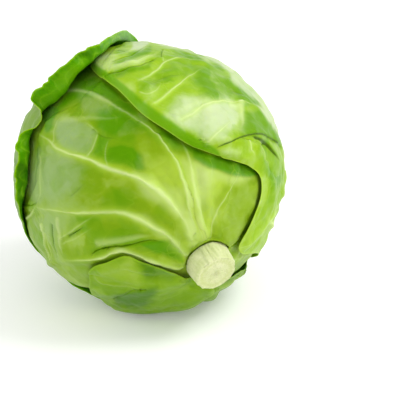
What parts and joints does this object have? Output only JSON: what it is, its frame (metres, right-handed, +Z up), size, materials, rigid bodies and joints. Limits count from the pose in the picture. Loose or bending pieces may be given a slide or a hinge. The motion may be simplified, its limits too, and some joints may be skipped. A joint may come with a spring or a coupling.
{
  "type": "whole cabbage head",
  "caption": "Whole green cabbage head lying on its side: a dense ball wrapped in overlapping ribbed leaves, with a standing dark leaf margin and a cut stalk. Fresh vegetable.",
  "frame": {"origin": "centre of the bounding box's bottom, at the height of the surface that the head lies on", "axes": "+Z up, away from the surface; the stalk points to +X and -Y, a little downwards, and the front leaf faces -Y"},
  "size_m": [0.1836, 0.182, 0.1847],
  "materials": {
    "inner_leaf": "smooth waxy leaf",
    "stalk": "cut, matt",
    "outer_leaf": "waxy leaf, satin",
    "pale_leaf": "waxy leaf, satin",
    "dark_leaf": "waxy leaf, satin"
  },
  "bodies": {
    "root": {"heart": "inner_leaf", "stalk": "stalk", "leaf_rear": "outer_leaf", "leaf_front": "outer_leaf", "leaf_crown": "pale_leaf", "leaf_under": "dark_leaf", "leaf_remnant": "outer_leaf"}
  },
  "joints": []
}
